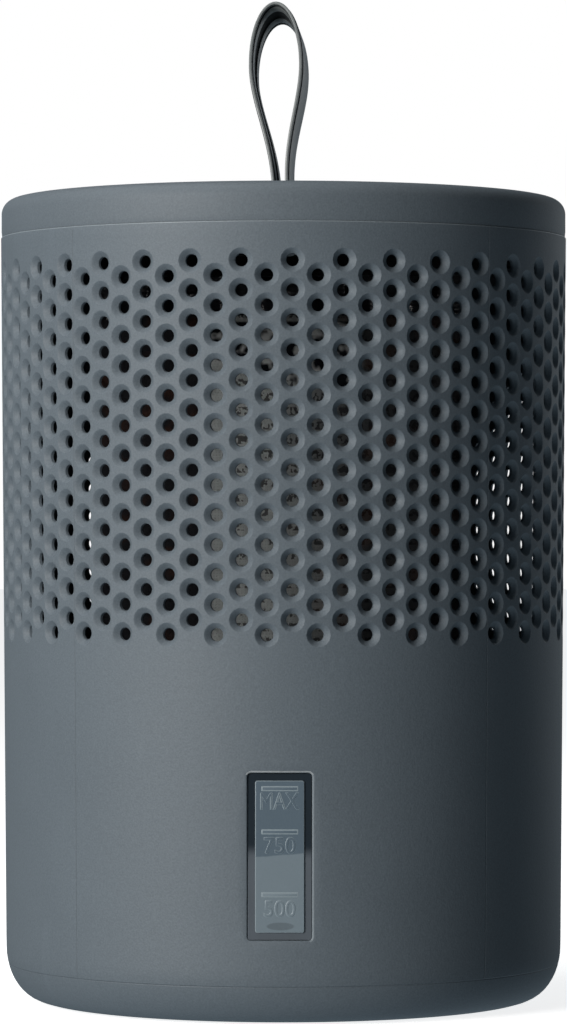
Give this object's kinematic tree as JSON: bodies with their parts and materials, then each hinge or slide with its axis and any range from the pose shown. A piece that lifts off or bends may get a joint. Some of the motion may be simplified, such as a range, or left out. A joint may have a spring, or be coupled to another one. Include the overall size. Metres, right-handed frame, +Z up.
{
  "type": "dehumidifier",
  "caption": "Passive dehumidifier pot: perforated wall over a brine tank with a level window, loose tray and desiccant pouch, lift-off lid with a strap loop.",
  "frame": {"origin": "centre of the underside, on the surface the object stands on", "axes": "+Z up along the pot's axis, -Y towards the level window at the front, +X to the right seen from the front"},
  "size_m": [0.15, 0.15, 0.2659],
  "materials": {
    "shell_plastic": "matte graphite, fine spark texture",
    "window_clear": "smoky clear, satin pad",
    "seal_rubber": "matte black",
    "inner_plastic": "dark satin",
    "pouch_fabric": "light grey nonwoven",
    "strap_grey": "satin mid grey",
    "pin_steel": "satin"
  },
  "bodies": {
    "pot": {"body_pot": "shell_plastic", "window_pane": "window_clear", "window_gasket": "seal_rubber", "window_retainer": "inner_plastic", "foot_pad_1": "seal_rubber", "foot_pad_2": "seal_rubber", "foot_pad_3": "seal_rubber", "foot_pad_4": "seal_rubber"},
    "tray": {"drip_tray": "inner_plastic"},
    "pouch": {"desiccant_pouch": "pouch_fabric"},
    "lid": {"lid_cap": "shell_plastic", "lid_plug": "inner_plastic", "lid_screw_1": "pin_steel", "lid_screw_2": "pin_steel", "lid_screw_3": "pin_steel", "strap_pin": "pin_steel", "strap_root": "strap_grey"},
    "strap": {"strap_loop": "strap_grey"}
  },
  "joints": [
    {"name": "lid_lift", "type": "slide", "parent": "pot", "child": "lid", "axis": [0, 0, 1], "range_m": [0, 0.24]},
    {"name": "tray_lift", "type": "slide", "parent": "pot", "child": "tray", "axis": [0, 0, 1], "range_m": [0, 0.12]},
    {"name": "pouch_lift", "type": "slide", "parent": "tray", "child": "pouch", "axis": [0, 0, 1], "range_m": [0, 0.048]},
    {"name": "strap_swing", "type": "hinge", "parent": "lid", "child": "strap", "pos_m": [0, 0, 0.2147], "axis": [0.1392, 0.9903, 0], "range_deg": [-65, 65], "stiffness_Nm_per_rad": 0.004}
  ],
  "couplings": [
    {"joint": "tray_lift", "follows": "lid_lift", "ratio": 0.5},
    {"joint": "pouch_lift", "follows": "lid_lift", "ratio": 0.2}
  ]
}
